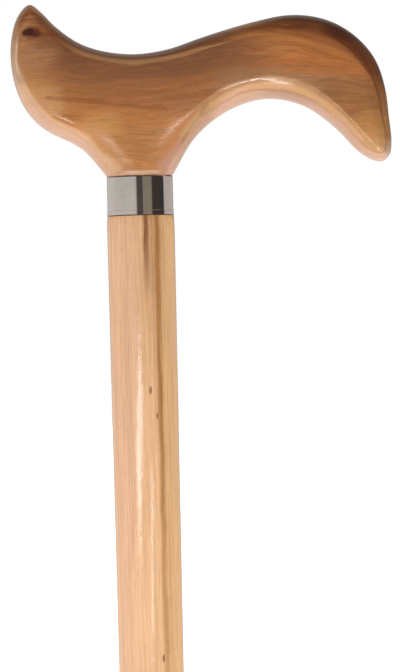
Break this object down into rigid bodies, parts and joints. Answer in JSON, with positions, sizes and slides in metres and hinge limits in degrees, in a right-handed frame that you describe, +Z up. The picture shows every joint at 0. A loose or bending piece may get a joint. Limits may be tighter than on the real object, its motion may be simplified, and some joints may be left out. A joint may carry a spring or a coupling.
{
  "type": "walking stick",
  "caption": "Wooden walking stick with a carved palm handle, a long curved tail, a polished metal collar, a tapering shaft and a push-on rubber ferrule.",
  "frame": {"origin": "centre of the ferrule's tread, on the shaft's axis", "axes": "+Z up along the shaft, +X towards the tip of the handle's long tail; the stick is the same on both sides of the XZ plane"},
  "size_m": [0.1267, 0.034, 0.92],
  "materials": {
    "handle_wood": "golden brown hardwood under clear gloss lacquer",
    "shaft_wood": "light hardwood under clear gloss lacquer",
    "polished_metal": "polished",
    "plain_steel": "plain zinc-plated steel",
    "black_rubber": "matt moulded rubber"
  },
  "bodies": {
    "stick": {"handle": "handle_wood", "collar": "polished_metal", "shaft": "shaft_wood", "threaded_stud": "plain_steel"},
    "tip": {"ferrule": "black_rubber", "ferrule_washer": "plain_steel"}
  },
  "joints": [
    {"name": "ferrule_pull", "type": "slide", "parent": "stick", "child": "tip", "axis": [0, 0, -1], "range_m": [0, 0.045]}
  ]
}
